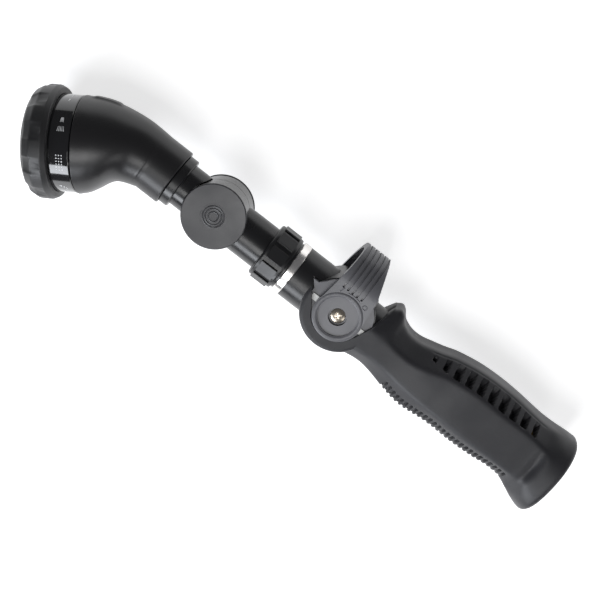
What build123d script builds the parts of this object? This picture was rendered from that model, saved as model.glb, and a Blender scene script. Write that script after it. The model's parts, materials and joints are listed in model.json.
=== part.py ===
from build123d import *
import os
from math import cos, radians, sin, sqrt

# Hose spray nozzle: a wand with a tilting head, a dial of spray patterns and a thumb lever.
# X runs along the barrel and points out of the hose inlet, +Y is the lever's side, and the lever
# and tilt axes are along Z. The origin is the centre of the inlet's mouth. Millimetres.

os.makedirs("parts", exist_ok=True)

# ---------------------------------------------------------------- driving dimensions
# stations along the barrel
lever_to_inlet = 146.0      # lever axis to the inlet's mouth
lever_to_sleeve = 31.0      # lever axis to the front face of the black sleeve
lever_to_pivot = 82.0       # lever axis to the tilt axis
pivot_to_neck = 28.5        # tilt axis to the head's neck face
pivot_to_bend = 52.3        # tilt axis to where the head's axis meets the barrel's
head_angle = 33.0           # bend of the head below the barrel line, degrees

# water way and general walls
water_r = 6.0
running = 0.1               # radial clearance of a turning fit
slip = 0.05                 # radial clearance of a piece assembled and left in place
gap = 0.3                   # clearance between faces of pieces that move past each other

# valve body, coupling and barrel
sleeve_r = 15.2
spigot_r = 14.0
spigot_length = 13.0
trim_length = 4.5
trim_r = 15.5
nut_r = 16.2
nut_length = 14.0
nut_gap = 1.0               # trim ring to nut
nut_lip_r = 12.75
tube_r = 12.45
flange_length = 3.0
tail_r = 9.0                # barrel tail that plugs into the valve body
tail_length = 11.0
chamber_r = 11.3
chamber_half = 12.1
socket_r = 13.9             # rear socket of the valve body
socket_length = 13.0
plug_r = 11.9
core_r = 12.8               # handle tube
core_bore_r = 9.0
housing_r = 19.3            # drum that carries the lever
housing_top = 16.8
housing_half = 12.5
ball_r = 11.0
ball_bore_r = 5.5
rest_angle = 22.0           # lever forward of fully open, at rest
seat_bore_r = 6.5
stem_r = 5.1
stem_square = 6.0

# lever
boss_r = 13.5
cheek_r = 18.7
cheek_length = 2.4
washer_length = 0.55
yoke_inner = 15.7           # half the gap between the side plates
plate = 3.5
arch_y = 17.0               # centre of the arch above the lever axis
floor_length = 1.3          # lever floor under the screw head
screw_recess_r = 5.0
screw_head_r = 4.0
screw_r = 1.9

# grip
cradle_r = 20.6
cradle_half = 17.0
grip_end = -1.0
insert_r = 15.6
hose_r = 13.2               # inside wall of the 3/4 inch garden-hose coupling
thread_length = 13.0        # full-size wall of the hose socket
hose_washer_length = 2.8
insert_floor = 3.0
insert_collar = 8.0

# tilt pivot
hub_r = 17.2
hub_half = 12.0
cap_r = 17.5
cap_length = 1.3
half_gap = 0.2              # hub halves stand this far from the middle plane
trunnion_r = 8.0
trunnion_bore_r = 4.5
trunnion_top = 8.7
bolt_r = 1.8
bolt_head_r = 4.1
passage_r = 3.4
passage_z = 5.2
stub_r = 12.1
stub_spigot_r = 11.3
stub_spigot_length = 17.0
neck_ring_r = 14.4
neck_ring_length = 5.4

# head and dial, measured along the head's axis from the bend
neck_r = 16.0
bell_r = 25.9
bell_rim = 29.5
head_floor = 18.0
floor_thick = 4.0
recess_r = 21.2
post_r = 4.0
post_end = 36.0
port_offset = 8.5
port_r = 3.0
band_r = 25.6
band_wall = 2.3
ring_rear = 41.0
ring_front = 55.5
ring_r = 30.0
ring_lip_r = 22.5
face_thick = 3.5
scallops = 10
patterns = 8

# ---------------------------------------------------------------- derived places
lever_x = -lever_to_inlet
sleeve_front = lever_x - lever_to_sleeve
spigot_front = sleeve_front - spigot_length
pivot_x = lever_x - lever_to_pivot
neck_x = pivot_x - pivot_to_neck
bend_x = pivot_x - pivot_to_bend
flange_rear = spigot_front - gap
flange_front = flange_rear - flange_length
nut_rear = sleeve_front - trim_length - nut_gap
nut_front = nut_rear - nut_length
chamber_front = lever_x - chamber_half
chamber_rear = lever_x + chamber_half
socket_rear = chamber_rear + socket_length
hose_depth = thread_length + hose_washer_length + 2 * slip
core_end = -(hose_depth + insert_floor)
cheek_top = housing_half + slip + cheek_length
washer_top = cheek_top + washer_length + 2 * slip
stub_front = neck_x + neck_ring_length
stub_tip = stub_front - stub_spigot_length
yoke_outer = yoke_inner + plate
screw_seat = yoke_inner + floor_length

along_x = Plane.YZ
lever_plane = Plane(origin=(lever_x, 0, 0), x_dir=(1, 0, 0), z_dir=(0, 0, 1))
pivot_plane = Plane(origin=(pivot_x, 0, 0), x_dir=(1, 0, 0), z_dir=(0, 0, 1))
head_dir = (-cos(radians(head_angle)), -sin(radians(head_angle)), 0)
head_plane = Plane(origin=(bend_x, 0, 0), x_dir=(0, 0, 1), z_dir=head_dir)


def bar(plane, start, end, radius, mode=Mode.ADD, at=(0, 0)):
    """A round bar along the plane's normal, from start to end, in the part being built."""
    with BuildSketch(plane.offset(start)) as section:
        with Locations(at):
            Circle(radius)
    extrude(section.sketch, amount=end - start, mode=mode)


def hole(plane, start, end, radius, at=(0, 0)):
    bar(plane, start, end, radius, Mode.SUBTRACT, at)


def o_ring(plane, station, inner, outer):
    """A seal ring whose section is round, lying across the plane's normal."""
    thick = (outer - inner) / 2
    section_plane = Plane(origin=plane.offset(station).origin, x_dir=plane.x_dir, z_dir=plane.y_dir)
    with BuildSketch(section_plane) as section:
        with Locations((inner + thick, 0)):
            Circle(thick)
    axis = Axis(plane.offset(station).origin, plane.z_dir)
    revolve(section.sketch, axis=axis)


def plan_prism(points, start, end, mode=Mode.ADD):
    """A prism along Z over an outline given from the lever axis."""
    with BuildSketch(lever_plane.offset(start)) as outline:
        with BuildLine():
            Polyline(*points, close=True)
        make_face()
    extrude(outline.sketch, amount=end - start, mode=mode)


# ---------------------------------------------------------------- valve notch and cheek outline
# The grip is cut back in a V about the lever, its two sides tangent to the boss pocket.
notch = [(-12.5, -6.8), (-26.5, 13.2), (-26.5, 45), (32.0, 45), (14.7, -3.7), (0, -9)]
cheek_tongue = [(-13.0, -3.0), (-21.6, 7.4), (-18.4, 7.4), (-13.0, 13.0)]
tongue_clearance = [(-12.0, -5.0), (-22.6, 8.0), (-18.4, 8.0), (-12.0, 14.5)]

# ---------------------------------------------------------------- handle: valve body and tube
with BuildPart() as valve_body:
    bar(along_x, spigot_front, sleeve_front, spigot_r)
    bar(along_x, sleeve_front, chamber_rear, sleeve_r)
    bar(along_x, chamber_rear, socket_rear, socket_r)
    with BuildSketch(lever_plane.offset(-housing_half)) as drum:
        Circle(housing_r)
        with Locations((0, housing_top + housing_r)):
            Rectangle(4 * housing_r, 2 * housing_r, mode=Mode.SUBTRACT)
    extrude(amount=2 * housing_half)
    for side in (1, -1):
        start = side * housing_half
        end = side * (sleeve_r + 1)
        hole(lever_plane, start, end, cheek_r + gap)
        plan_prism(tongue_clearance, start, end, Mode.SUBTRACT)
    hole(along_x, spigot_front, flange_rear + gap + tail_length + gap, tail_r + running)
    hole(along_x, spigot_front, chamber_front, water_r)
    hole(along_x, chamber_front, chamber_rear + slip, chamber_r)
    hole(along_x, chamber_rear, socket_rear, plug_r + slip)
    hole(lever_plane, -housing_half, housing_half, stem_r + running)

with BuildPart() as handle_tube:
    bar(along_x, chamber_rear + slip, socket_rear + slip, plug_r)
    bar(along_x, socket_rear + slip, core_end - slip, core_r)
    hole(along_x, chamber_rear, socket_rear + 2, water_r)
    hole(along_x, socket_rear + 2, core_end, core_bore_r)

with BuildPart() as trim_ring:
    bar(along_x, sleeve_front - trim_length, sleeve_front, trim_r)
    hole(along_x, sleeve_front - trim_length, sleeve_front, spigot_r + slip)
    chamfer(trim_ring.edges().filter_by(GeomType.CIRCLE).filter_by(lambda e: e.radius > trim_r - 0.1), 0.4)

# ---------------------------------------------------------------- ball valve
seat_length = chamber_half - sqrt(ball_r**2 - seat_bore_r**2) + 2.4
seat_length = min(seat_length, chamber_half - stem_r - 2 * gap)     # stays clear of the stems


def seat_ring(outer_end, inner_end):
    bar(along_x, outer_end, inner_end, chamber_r - slip)
    hole(along_x, outer_end, inner_end, seat_bore_r)
    with Locations((lever_x, 0, 0)):
        Sphere(ball_r + slip, rotation=(0, 0, 90), mode=Mode.SUBTRACT)


with BuildPart() as front_seat:
    seat_ring(chamber_front, chamber_front + seat_length)

with BuildPart() as rear_seat:
    seat_ring(chamber_rear - seat_length, chamber_rear)

ball_plane = lever_plane.rotated((0, 0, rest_angle))
ball_axis = Plane(origin=(lever_x, 0, 0), x_dir=(0, 0, 1), z_dir=ball_plane.x_dir)
tang_width = 3.6
tang_depth = 2.0
tang_root = ball_r - tang_depth

with BuildPart() as valve_ball:
    with Locations((lever_x, 0, 0)):
        Sphere(ball_r)
    hole(ball_axis, -ball_r, ball_r, ball_bore_r)
    for side in (1, -1):
        with BuildSketch(ball_plane.offset(side * tang_root)) as slot:
            Rectangle(3 * ball_r, tang_width + 2 * slip)
        extrude(slot.sketch, amount=side * 2 * tang_depth, mode=Mode.SUBTRACT)


ring_groove_r = stem_r - 1.5
ring_groove_z = (housing_half + chamber_r) / 2


def stem(side):
    """A stem with a flat tang in the ball, a sealed shank and a square end in the lever."""
    stem_seat = side * (ball_r + slip)
    stem_shoulder = side * (yoke_inner - gap / 2)
    stem_end = side * (screw_seat - slip)
    bar(lever_plane, stem_seat, stem_shoulder, stem_r)
    with BuildSketch(ball_plane.offset(side * (tang_root + slip))) as tang:
        Rectangle(7.0, tang_width)
    extrude(tang.sketch, amount=stem_seat - side * (tang_root + slip))
    with BuildSketch(ball_plane.offset(stem_shoulder)) as square:
        RectangleRounded(stem_square, stem_square, 0.8)
    extrude(square.sketch, amount=stem_end - stem_shoulder)
    with BuildSketch(lever_plane.offset(side * (ring_groove_z - 0.95))) as groove:
        Circle(stem_r + 1)
        Circle(ring_groove_r, mode=Mode.SUBTRACT)
    extrude(groove.sketch, amount=side * 1.9, mode=Mode.SUBTRACT)
    hole(lever_plane, side * (ball_r + 1.5), stem_end, screw_r + slip)


with BuildPart() as drive_stem:
    stem(1)

with BuildPart() as idler_stem:
    stem(-1)

with BuildPart() as stem_o_rings:
    for side in (1, -1):
        o_ring(lever_plane, side * ring_groove_z, ring_groove_r + slip, stem_r + slip)

# ---------------------------------------------------------------- lever cheeks, washers and lever


def cheek(side):
    """A grey plate behind the lever's side plate, a disc with a tongue that fills the notch."""
    start = side * (housing_half + slip)
    end = side * cheek_top
    bar(lever_plane, start, end, cheek_r)
    plan_prism(cheek_tongue, start, end)
    hole(lever_plane, start, end, stem_r + running)


with BuildPart() as cheek_near:
    cheek(1)

with BuildPart() as cheek_far:
    cheek(-1)

with BuildPart() as thrust_washers:
    for side in (1, -1):
        start = side * (cheek_top + slip)
        end = side * (washer_top - slip)
        bar(lever_plane, start, end, boss_r - 1.5)
        with BuildSketch(lever_plane.offset(start)) as lugs:
            Rectangle(2 * (cheek_r - 1.6), 3.2)
        extrude(lugs.sketch, amount=end - start)
        hole(lever_plane, start, end, stem_r + running)

lever_outline = [(-boss_r, 0), (-12.6, 6.0), (-9.6, 36.8), (4.9, 36.8), (11.2, 19.0), (boss_r, 0)]
rib_pitch = 2.9
ribs = 5
with BuildPart() as lever:
    with BuildSketch(lever_plane.offset(-yoke_outer)) as side_view:
        with BuildLine():
            Polyline(*lever_outline, close=True)
        make_face()
        fillet(side_view.vertices().sort_by(Axis.Y)[-2:], 3.0)
        Circle(boss_r)
    extrude(amount=2 * yoke_outer)
    with BuildSketch(Plane(origin=(lever_x - 30, 0, 0), x_dir=(0, 1, 0), z_dir=(1, 0, 0))) as front_view:
        with Locations((arch_y, 0)):
            Circle(yoke_outer)
        with Locations((arch_y / 2 - boss_r / 2 - 1, 0)):
            Rectangle(arch_y + boss_r + 2, 2 * yoke_outer)
        with Locations((arch_y, 0)):
            Circle(yoke_inner, mode=Mode.SUBTRACT)
        with Locations((arch_y / 2 - boss_r / 2 - 2, 0)):
            Rectangle(arch_y + boss_r + 4, 2 * yoke_inner, mode=Mode.SUBTRACT)
    extrude(amount=60, mode=Mode.INTERSECT)
    for i in range(ribs):
        groove_x = lever_x - 8.0 + i * rib_pitch
        with BuildSketch(Plane(origin=(groove_x, 0, 0), x_dir=(0, 1, 0), z_dir=(1, 0, 0))) as groove:
            with Locations((arch_y, 0)):
                Circle(yoke_outer + 1)
                Circle(yoke_outer - 0.9, mode=Mode.SUBTRACT)
            with Locations((arch_y - 2.5 - yoke_outer, 0)):
                Rectangle(2 * yoke_outer, 4 * yoke_outer, mode=Mode.SUBTRACT)
        extrude(groove.sketch, amount=1.1, mode=Mode.SUBTRACT)
    for side in (1, -1):
        hole(lever_plane, side * (yoke_outer - 0.7), side * (yoke_outer + 1), boss_r - 2.9)
        hole(lever_plane, side * screw_seat, side * (yoke_outer + 1), screw_recess_r)
        with BuildSketch(ball_plane.offset(side * (yoke_inner - 1))) as socket:
            RectangleRounded(stem_square + 2 * slip, stem_square + 2 * slip, 0.8)
        extrude(socket.sketch, amount=side * (floor_length + 1.1), mode=Mode.SUBTRACT)

screw_head = 1.7
with BuildPart() as lever_screws:
    for side in (1, -1):
        head_under = side * (screw_seat + slip)
        head_over = head_under + side * screw_head
        bar(lever_plane, head_under, head_over, screw_head_r)
        bar(lever_plane, side * (ball_r + 2.0), head_under, screw_r)
        with BuildSketch(lever_plane.offset(head_over)) as cross:
            Rectangle(4.2, 0.9)
            Rectangle(0.9, 4.2)
        extrude(cross.sketch, amount=-side * 1.0, mode=Mode.SUBTRACT)

# ---------------------------------------------------------------- grip
# Oval sections of the soft grip: station, height of the centre, half height and half width.
grip_sections = [
    (-130.0, -0.6, 16.0, 15.6),
    (-121.0, -0.6, 15.8, 15.4),
    (-108.0, -2.4, 15.5, 15.6),
    (-94.0, -3.0, 18.1, 17.2),
    (-76.0, -0.1, 20.1, 18.6),
    (-54.0, 0.8, 21.2, 19.0),
    (-28.0, 1.0, 19.6, 18.0),
    (-11.0, -1.9, 23.1, 21.0),
    (-3.5, -2.7, 24.3, 22.4),
    (grip_end, -2.9, 23.6, 21.8),
]
grip_stretch = lever_to_inlet / 146.0     # the stations are drawn for a grip of 146 mm
slots = 10
slot_pitch = 7.2 * grip_stretch
pockets = 26                # finger pockets along the underside, each side
pocket_pitch = 3.05 * grip_stretch

with BuildPart() as grip_shell:
    for station, centre, half_height, half_width in grip_sections:
        with BuildSketch(along_x.offset(station * grip_stretch)):
            with Locations((centre, 0)):
                Ellipse(half_height, half_width)
    loft()
    bar(lever_plane, -cradle_half, cradle_half, cradle_r)
    with BuildSketch(Plane.XY.offset(-8.5)) as horn:
        with BuildLine():
            Polyline((lever_x + 16.0, 5.0), (lever_x + 17.0, 16.5), (lever_x + 24.5, 20.4),
                     (lever_x + 30.0, 16.0), (lever_x + 36.0, 10.0), close=True)
        make_face()
        fillet(horn.vertices().sort_by(Axis.Y)[-1:], 3.0)
    extrude(horn.sketch, amount=17.0)
    plan_prism(notch, -2 * cradle_half, 2 * cradle_half, Mode.SUBTRACT)
    for side in (1, -1):
        hole(lever_plane, 0, side * (housing_half + 2 * slip), housing_r + slip)
        hole(lever_plane, side * housing_half, side * washer_top, cheek_r + gap)
        hole(lever_plane, side * cheek_top, side * 2 * cradle_half, boss_r + 2 * gap)
    hole(along_x, lever_x - cradle_r - 1, chamber_rear, sleeve_r + slip)
    hole(along_x, chamber_rear, socket_rear + 2 * slip, socket_r + slip)
    hole(along_x, socket_rear, core_end, core_r + slip)
    hole(along_x, core_end - insert_collar - slip, 0, insert_r + slip)
    for side in (1, -1):
        for i in range(slots):
            slot_x = -92.0 * grip_stretch + i * slot_pitch
            slot_plane = Plane(origin=(slot_x, 17.6, side * 22), x_dir=(1, 0.18, 0), z_dir=(0, 0, side))
            with BuildSketch(slot_plane) as slot:
                SlotOverall(8.5, 2.6, rotation=90)
            extrude(slot.sketch, amount=-11.5, mode=Mode.SUBTRACT)
        with BuildSketch(Plane.XY.offset(side * 13.0)) as finger_pockets:
            for i in range(pockets):
                with Locations((-101.5 * grip_stretch + i * pocket_pitch, -14.6)):
                    Rectangle(1.5, 4.2)
        extrude(finger_pockets.sketch, amount=side * 12.0, mode=Mode.SUBTRACT)

with BuildPart() as insert_seat:
    bar(along_x, core_end - insert_collar, -hose_depth, insert_r)
    hole(along_x, core_end - insert_collar, core_end, core_r + slip)
    hole(along_x, core_end, -hose_depth, core_bore_r)
    hole(along_x, -hose_depth - 0.6, -hose_depth, core_bore_r + 1)

with BuildPart() as hose_insert:
    bar(along_x, -hose_depth, 0, insert_r)
    hole(along_x, -hose_depth, 0, hose_r)
    hole(along_x, -hose_depth, -thread_length, hose_r + 0.5)

with BuildPart() as inlet_screen:
    bar(along_x, -hose_depth - 0.55, -hose_depth - slip, core_bore_r + 0.9)
    with BuildSketch(along_x.offset(-hose_depth - 1)) as mesh:
        with GridLocations(2.0, 2.0, 7, 7):
            Rectangle(1.3, 1.3)
    extrude(mesh.sketch, amount=2, mode=Mode.SUBTRACT)

with BuildPart() as hose_washer:
    bar(along_x, -hose_depth, hose_washer_length - hose_depth, hose_r + 0.5 - slip)
    hole(along_x, -hose_depth, hose_washer_length - hose_depth, core_bore_r + 0.5)

# ---------------------------------------------------------------- coupling nut and barrel
grip_pads = 10
with BuildPart() as coupling_nut:
    bar(along_x, nut_front, nut_rear, nut_r - 0.7)
    fillet(coupling_nut.edges().filter_by(GeomType.CIRCLE), 1.2)
    with BuildSketch(along_x.offset(nut_front + 2.2)) as pads:
        with PolarLocations(nut_r - 1.1, grip_pads):
            RectangleRounded(2.2, 7.6, 0.5)
        Circle(nut_r - 2, mode=Mode.SUBTRACT)
    extrude(pads.sketch, amount=nut_length - 4.4)
    hole(along_x, nut_front, nut_rear, nut_lip_r)
    hole(along_x, flange_front - gap, nut_rear, spigot_r + slip + running)

barrel_ring_x = flange_rear + 5.5
with BuildPart() as barrel_tube:
    bar(along_x, pivot_x, flange_rear, tube_r)
    bar(pivot_plane, half_gap, hub_half, hub_r)
    hole(pivot_plane, half_gap, -2 * hub_half, hub_r + 2 * gap)
    hole(pivot_plane, hub_half, 2 * hub_half, cap_r + slip)
    bar(along_x, flange_front, flange_rear, spigot_r - slip)
    bar(along_x, flange_rear, flange_rear + tail_length, tail_r)
    with BuildSketch(along_x.offset(barrel_ring_x - 1.2)) as groove:
        Circle(tail_r + 1)
        Circle(tail_r - 1.7, mode=Mode.SUBTRACT)
    extrude(groove.sketch, amount=2.4, mode=Mode.SUBTRACT)
    hole(along_x, pivot_x + hub_r + 2.8, flange_rear + tail_length, water_r)
    inlet_port = Plane(origin=(0, 0, passage_z), x_dir=along_x.x_dir, z_dir=along_x.z_dir)
    hole(inlet_port, pivot_x, pivot_x + hub_r + 3.0, passage_r)
    hole(pivot_plane, half_gap, trunnion_top + gap, trunnion_r + running)
    hole(pivot_plane, 0, hub_half, bolt_r + gap)
    hole(pivot_plane, hub_half - 1.6, hub_half, bolt_head_r + gap)

with BuildPart() as barrel_o_ring:
    o_ring(along_x, barrel_ring_x, tail_r - 1.7 + slip, tail_r + slip)

# ---------------------------------------------------------------- tilt pivot
pivot_ring_r = trunnion_r - 1.4
pivot_ring_z = (1.5, 7.6)
port_z = sum(pivot_ring_z) / 2

with BuildPart() as head_stub:
    bar(along_x, stub_front, pivot_x, stub_r)
    bar(along_x, stub_tip, stub_front, stub_spigot_r)
    bar(pivot_plane, -hub_half, -half_gap, hub_r)
    hole(pivot_plane, -half_gap, 2 * hub_half, hub_r + 2 * gap)
    hole(pivot_plane, -hub_half, -2 * hub_half, cap_r + slip)
    bar(pivot_plane, -half_gap, trunnion_top, trunnion_r)
    for ring_z in pivot_ring_z:
        with BuildSketch(pivot_plane.offset(ring_z - 0.8)) as groove:
            Circle(trunnion_r + 0.5)
            Circle(pivot_ring_r, mode=Mode.SUBTRACT)
        extrude(groove.sketch, amount=1.6, mode=Mode.SUBTRACT)
    with BuildSketch(pivot_plane.offset(port_z - 1.8)) as gallery:
        Circle(trunnion_r + 0.5)
        Circle(pivot_ring_r, mode=Mode.SUBTRACT)
    extrude(gallery.sketch, amount=3.6, mode=Mode.SUBTRACT)
    hole(pivot_plane, 3 - hub_half, trunnion_top - 1.2, trunnion_bore_r)
    hole(pivot_plane, 0.5 - hub_half, trunnion_top, bolt_r + slip)
    for port_dir in ((1, 0, 0), (0, 1, 0)):
        port = Plane(origin=(pivot_x, 0, port_z), x_dir=(0, 0, 1), z_dir=port_dir)
        hole(port, -trunnion_r, trunnion_r, 1.4)
    outlet_port = Plane(origin=(0, 0, -passage_z - 0.6), x_dir=along_x.x_dir, z_dir=along_x.z_dir)
    hole(outlet_port, pivot_x - hub_r - 3.0, pivot_x, passage_r)
    hole(along_x, stub_tip, pivot_x - hub_r - 2.8, water_r)
    with BuildSketch(pivot_plane.offset(-half_gap)) as friction_groove:
        Circle(15.7)
        Circle(9.6, mode=Mode.SUBTRACT)
    extrude(friction_groove.sketch, amount=-1.3, mode=Mode.SUBTRACT)
    with BuildSketch(along_x.offset(stub_tip + 4.0)) as neck_groove:
        Circle(stub_spigot_r + 1)
        Circle(stub_spigot_r - 1.6, mode=Mode.SUBTRACT)
    extrude(neck_groove.sketch, amount=2.2, mode=Mode.SUBTRACT)

with BuildPart() as pivot_o_rings:
    for ring_z in pivot_ring_z:
        o_ring(pivot_plane, ring_z, pivot_ring_r + slip, trunnion_r + slip)

with BuildPart() as friction_ring:
    bar(pivot_plane, -half_gap - 1.3, 0.1, 15.6)
    hole(pivot_plane, -half_gap - 1.3, 0.1, 9.7)

with BuildPart() as pivot_bolt:
    bar(pivot_plane, 1.0 - hub_half, hub_half - 1.5, bolt_r)
    bar(pivot_plane, hub_half - 1.5, hub_half - slip, bolt_head_r)
    with BuildSketch(pivot_plane.offset(hub_half - slip)) as key:
        RegularPolygon(1.5, 6)
    extrude(key.sketch, amount=-1.0, mode=Mode.SUBTRACT)

with BuildPart() as pivot_cap_near:
    bar(pivot_plane, hub_half + slip, hub_half + cap_length, cap_r)
    fillet(pivot_cap_near.faces().sort_by(Axis.Z)[-1].edges(), 0.6)

with BuildPart() as pivot_cap_far:
    bar(pivot_plane, -hub_half - cap_length, -hub_half - slip, cap_r)
    fillet(pivot_cap_far.faces().sort_by(Axis.Z)[0].edges(), 0.6)

with BuildPart() as neck_o_ring:
    o_ring(along_x, stub_tip + 5.1, stub_spigot_r - 1.6 + slip, stub_spigot_r + slip)

with BuildPart() as neck_ring:
    bar(along_x, neck_x + slip, stub_front - slip, neck_ring_r)
    chamfer(neck_ring.edges().filter_by(GeomType.CIRCLE), 0.5)
    hole(along_x, neck_x, stub_front, stub_spigot_r + slip)

# ---------------------------------------------------------------- head body
# Round sections from the neck to the rim of the bell. Each is given as shares of the way from the
# straight neck to the rim: along X, along Y, in radius and in turn.
neck_end = bend_x + 10.3
pointer_rear = 17.0         # pointer tab on top of the bell, for reading the dial
pointer_length = 8.0
pointer_top = 26.2
rim_centre = head_plane.offset(bell_rim).origin
bell_sections = [
    (0.308, 0.12, 0.24, 0.12),
    (0.535, 0.43, 0.66, 0.33),
    (0.752, 0.667, 0.88, 0.667),
    (1, 1, 1, 1),
]

with BuildPart() as head_body:
    with BuildSketch(Plane(origin=(neck_end, 0, 0), x_dir=(0, 0, 1), z_dir=(-1, 0, 0))):
        Circle(neck_r)
    for share_x, share_y, share_r, share_turn in bell_sections:
        turn = radians(head_angle * share_turn)
        centre = (neck_end + share_x * (rim_centre.X - neck_end), share_y * rim_centre.Y, 0)
        with BuildSketch(Plane(origin=centre, x_dir=(0, 0, 1), z_dir=(-cos(turn), -sin(turn), 0))):
            Circle(neck_r + share_r * (bell_r - neck_r))
    loft()
    bar(along_x, neck_end, neck_x, neck_r)
    with BuildSketch(head_plane.offset(pointer_rear)) as pointer:
        with Locations((0, pointer_top - 3)):
            Rectangle(5.0, 6)
    extrude(pointer.sketch, amount=pointer_length)
    hole(along_x, stub_tip - 0.5, neck_x, stub_spigot_r + 2 * slip)
    hole(along_x, bend_x - 2.0, neck_x, stub_spigot_r - 1.0)
    hole(head_plane, -4.0, head_floor, stub_spigot_r)
    hole(head_plane, head_floor + floor_thick, bell_rim + 1, recess_r)
    bar(head_plane, head_floor + 1, post_end, post_r)
    hole(head_plane, head_floor, head_floor + floor_thick, port_r, at=(0, port_offset))
    hole(head_plane, head_floor + 2.5, head_floor + floor_thick, port_r + 1.1, at=(0, port_offset))
    hole(head_plane, head_floor + 0.5, head_floor + floor_thick, 1.9, at=(14.0, 0))
    hole(head_plane, post_end - 9.0, post_end, 1.55)

selector_rear = head_floor + floor_thick + 2.2
selector_thick = 3.0
with BuildPart() as port_seal:
    bar(head_plane, head_floor + 2.5, selector_rear - 0.1, port_r + 1.0, at=(0, port_offset))
    hole(head_plane, head_floor, selector_rear, port_r - 0.4, at=(0, port_offset))

with BuildPart() as detent_pin:
    bar(head_plane, head_floor + 2.6, selector_rear - 0.1, 1.8, at=(14.0, 0))

with BuildPart() as detent_spring:
    bar(head_plane, head_floor + 0.55, head_floor + 1.9, 1.8, at=(14.0, 0))
    hole(head_plane, head_floor, head_floor + 3, 1.1, at=(14.0, 0))

# ---------------------------------------------------------------- dial
with BuildPart() as selector_disc:
    bar(head_plane, selector_rear, selector_rear + selector_thick, recess_r - 0.5)
    bar(head_plane, selector_rear, bell_rim + gap - slip, 6.6)
    hole(head_plane, selector_rear, bell_rim + 1, post_r + running)
    with BuildSketch(head_plane.offset(selector_rear)) as ports:
        with PolarLocations(port_offset + 2.0, patterns, start_angle=90):
            Circle(2.0)
    extrude(ports.sketch, amount=selector_thick, mode=Mode.SUBTRACT)

web_front = bell_rim + gap + 2.5
shell_front = ring_front - 3.1
face_rear = shell_front - face_thick
with BuildPart() as dial_shell:
    bar(head_plane, bell_rim + gap, shell_front, band_r)
    hole(head_plane, web_front, shell_front, band_r - band_wall)
    bar(head_plane, bell_rim + gap, post_end - 0.3, 8.0)
    hole(head_plane, bell_rim, post_end, post_r + running)
    with BuildSketch(head_plane.offset(bell_rim)) as ways:
        with PolarLocations(14.5, patterns, start_angle=90):
            Circle(3.6)
    extrude(ways.sketch, amount=4.0, mode=Mode.SUBTRACT)

with BuildPart() as axle_screw:
    bar(head_plane, post_end - 8.5, post_end + slip, 1.5)
    bar(head_plane, post_end + slip, post_end + 1.8, 6.0)
    with BuildSketch(head_plane.offset(post_end + 1.8)) as cross:
        Rectangle(4.0, 0.9)
        Rectangle(0.9, 4.0)
    extrude(cross.sketch, amount=-0.9, mode=Mode.SUBTRACT)

with BuildPart() as dial_ring:
    with BuildSketch(Plane(origin=(bend_x, 0, 0), x_dir=head_plane.y_dir, z_dir=(0, 0, 1))) as ring_section:
        with BuildLine():
            rear = ring_rear
            front = ring_front
            inner = band_r + slip
            Polyline((inner, rear), (ring_r - 1.2, rear), (ring_r, rear + 1.8), (ring_r, rear + 6.5))
            TangentArc((ring_r, rear + 6.5), (ring_lip_r + 2.5, front), tangent=(0, 1))
            Polyline((ring_lip_r + 2.5, front), (ring_lip_r, front), (ring_lip_r, shell_front + slip),
                     (inner, shell_front + slip), (inner, rear))
        make_face()
    revolve(ring_section.sketch, axis=Axis((bend_x, 0, 0), head_dir))
    with BuildSketch(head_plane.offset(ring_rear + 2.5)) as dips:
        with PolarLocations(ring_r + 7.2, scallops, start_angle=18):
            Circle(8.5)
    extrude(dips.sketch, amount=ring_front - ring_rear, mode=Mode.SUBTRACT)

with BuildPart() as spray_face:
    bar(head_plane, face_rear, shell_front - slip, band_r - band_wall - slip)
    hole(head_plane, face_rear, shell_front, 4.5)
    with BuildSketch(head_plane.offset(face_rear)) as jets:
        with PolarLocations(7.5, 8):
            Circle(0.8)
        with PolarLocations(12.5, 16):
            Circle(0.9)
        with PolarLocations(18.5, 8, start_angle=22.5):
            SlotOverall(7.0, 1.2, rotation=90)
    extrude(jets.sketch, amount=face_thick, mode=Mode.SUBTRACT)

with BuildPart() as centre_jet:
    bar(head_plane, face_rear - 2.5, shell_front + 1.2, 4.4)
    bar(head_plane, face_rear - 2.5, face_rear - slip, 5.6)
    hole(head_plane, face_rear - 3, shell_front + 2, 1.6)

# ---------------------------------------------------------------- labels and files
pieces = {
    "valve_body": valve_body, "handle_tube": handle_tube, "trim_ring": trim_ring,
    "front_seat": front_seat, "rear_seat": rear_seat, "valve_ball": valve_ball,
    "drive_stem": drive_stem, "idler_stem": idler_stem, "stem_o_rings": stem_o_rings,
    "cheek_near": cheek_near, "cheek_far": cheek_far, "thrust_washers": thrust_washers,
    "lever": lever, "lever_screws": lever_screws, "grip_shell": grip_shell,
    "insert_seat": insert_seat, "hose_insert": hose_insert,
    "inlet_screen": inlet_screen, "hose_washer": hose_washer,
    "coupling_nut": coupling_nut, "barrel_tube": barrel_tube, "barrel_o_ring": barrel_o_ring,
    "head_stub": head_stub, "pivot_o_rings": pivot_o_rings, "friction_ring": friction_ring,
    "pivot_bolt": pivot_bolt, "pivot_cap_near": pivot_cap_near, "pivot_cap_far": pivot_cap_far,
    "neck_o_ring": neck_o_ring, "neck_ring": neck_ring, "head_body": head_body,
    "port_seal": port_seal, "detent_pin": detent_pin, "detent_spring": detent_spring,
    "selector_disc": selector_disc, "dial_shell": dial_shell, "axle_screw": axle_screw,
    "dial_ring": dial_ring, "spray_face": spray_face, "centre_jet": centre_jet,
}
for label, piece in pieces.items():
    piece.part.label = label
    export_step(piece.part, f"parts/{label}.step")
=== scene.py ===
import json
import bpy
import numpy as np
from mathutils import Matrix, Vector


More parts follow.
